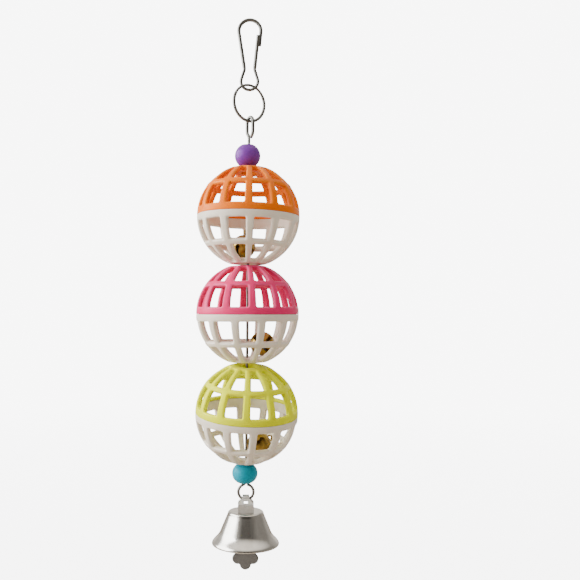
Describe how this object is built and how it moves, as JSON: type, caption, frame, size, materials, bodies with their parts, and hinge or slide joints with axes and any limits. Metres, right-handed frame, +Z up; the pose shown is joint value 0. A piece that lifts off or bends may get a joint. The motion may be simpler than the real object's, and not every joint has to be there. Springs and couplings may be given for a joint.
{
  "type": "hanging ball bird toy",
  "caption": "Hanging bird toy: stacked lattice balls with loose jingle bells on a straight wire between beads, a snap hook and ring above, and a small bell with a flat clapper below.",
  "frame": {"origin": "point inside the top of the snap hook's arch that rests on a cage bar", "axes": "+Z up along the hanging wire, front towards -Y, the hook's gate towards +X"},
  "size_m": [0.04, 0.04, 0.2149],
  "materials": {
    "nickel_wire": "bright nickel-plated wire",
    "purple_bead": "satin",
    "turquoise_bead": "satin",
    "orange_plastic": "moulded, semi-gloss",
    "pink_plastic": "moulded, semi-gloss",
    "yellow_plastic": "moulded, semi-gloss",
    "white_plastic": "moulded, semi-gloss",
    "brass_bell": "bright, slightly dulled",
    "pellet_steel": "plain",
    "nickel_bell": "polished nickel",
    "clapper_steel": "dull stamped sheet"
  },
  "bodies": {
    "hook": {"snap_hook": "nickel_wire"},
    "gate": {"hook_gate": "nickel_wire"},
    "ring": {"hanging_ring": "nickel_wire"},
    "wire": {"centre_wire": "nickel_wire"},
    "upper_bead": {"top_bead": "purple_bead"},
    "orange_ball": {"orange_upper_shell": "orange_plastic", "orange_lower_shell": "white_plastic"},
    "orange_jingle": {"orange_jingle_shell": "brass_bell", "orange_jingle_loop": "brass_bell"},
    "orange_pellet": {"orange_jingle_pellet": "pellet_steel"},
    "pink_ball": {"pink_upper_shell": "pink_plastic", "pink_lower_shell": "white_plastic"},
    "pink_jingle": {"pink_jingle_shell": "brass_bell", "pink_jingle_loop": "brass_bell"},
    "pink_pellet": {"pink_jingle_pellet": "pellet_steel"},
    "yellow_ball": {"yellow_upper_shell": "yellow_plastic", "yellow_lower_shell": "white_plastic"},
    "yellow_jingle": {"yellow_jingle_shell": "brass_bell", "yellow_jingle_loop": "brass_bell"},
    "yellow_pellet": {"yellow_jingle_pellet": "pellet_steel"},
    "lower_bead": {"bottom_bead": "turquoise_bead"},
    "bell": {"bell_cup": "nickel_bell", "bell_lug": "nickel_bell", "clapper_pin": "nickel_wire"},
    "clapper": {"clapper": "clapper_steel"}
  },
  "joints": [
    {"name": "gate_flex", "type": "hinge", "parent": "hook", "child": "gate", "pos_m": [0.0033, 0, -0.0234], "axis": [0, -1, 0], "range_deg": [0, 14], "stiffness_Nm_per_rad": 0.1, "springref_deg": -2.86},
    {"name": "ring_swing", "type": "hinge", "parent": "hook", "child": "ring", "pos_m": [0, 0, -0.02484], "axis": [0.8387, 0.5446, 0], "range_deg": [-45, 45]},
    {"name": "wire_swing", "type": "hinge", "parent": "ring", "child": "wire", "pos_m": [0, 0, -0.03884], "axis": [0.8387, 0.5446, 0], "range_deg": [-45, 45]},
    {"name": "upper_bead_spin", "type": "hinge", "parent": "wire", "child": "upper_bead", "pos_m": [-0.00047, 0, -0.05249], "axis": [0, 0, 1], "continuous": true},
    {"name": "orange_ball_spin", "type": "hinge", "parent": "wire", "child": "orange_ball", "pos_m": [0, 0, -0.07596], "axis": [0.0157, 0.0349, 0.9993], "continuous": true},
    {"name": "orange_jingle_roll", "type": "hinge", "parent": "orange_ball", "child": "orange_jingle", "pos_m": [0, 0, -0.07596], "axis": [0.0157, 0.0349, 0.9993], "continuous": true},
    {"name": "orange_pellet_roll", "type": "hinge", "parent": "orange_jingle", "child": "orange_pellet", "pos_m": [-0.00174, 0.00544, -0.0875], "axis": [-0.9658, -0.2581, 0.0242], "range_deg": [-110, 110]},
    {"name": "pink_ball_spin", "type": "hinge", "parent": "wire", "child": "pink_ball", "pos_m": [0, 0, -0.11411], "axis": [-0.0087, 0.0122, 0.9999], "continuous": true},
    {"name": "pink_jingle_roll", "type": "hinge", "parent": "pink_ball", "child": "pink_jingle", "pos_m": [0, 0, -0.11411], "axis": [-0.0087, 0.0122, 0.9999], "continuous": true},
    {"name": "pink_pellet_roll", "type": "hinge", "parent": "pink_jingle", "child": "pink_pellet", "pos_m": [0.00584, -0.00014, -0.12558], "axis": [0, 0.9999, -0.0122], "range_deg": [-110, 110]},
    {"name": "yellow_ball_spin", "type": "hinge", "parent": "wire", "child": "yellow_ball", "pos_m": [0, 0, -0.15274], "axis": [0.0297, -0.1218, 0.9921], "continuous": true},
    {"name": "yellow_jingle_roll", "type": "hinge", "parent": "yellow_ball", "child": "yellow_jingle", "pos_m": [0, 0, -0.15274], "axis": [0.0297, -0.1218, 0.9921], "continuous": true},
    {"name": "yellow_pellet_roll", "type": "hinge", "parent": "yellow_jingle", "child": "yellow_pellet", "pos_m": [0.00483, -0.00361, -0.16413], "axis": [0.6944, 0.7165, 0.0672], "range_deg": [-110, 110]},
    {"name": "lower_bead_spin", "type": "hinge", "parent": "wire", "child": "lower_bead", "pos_m": [-0.00047, 0, -0.17609], "axis": [0, 0, 1], "continuous": true},
    {"name": "bell_swing", "type": "hinge", "parent": "wire", "child": "bell", "pos_m": [0, 0, -0.18638], "axis": [1, 0, 0], "range_deg": [-30, 30]},
    {"name": "clapper_swing", "type": "hinge", "parent": "bell", "child": "clapper", "pos_m": [0, 0, -0.19317], "axis": [0, 1, 0], "range_deg": [-28, 28]}
  ]
}
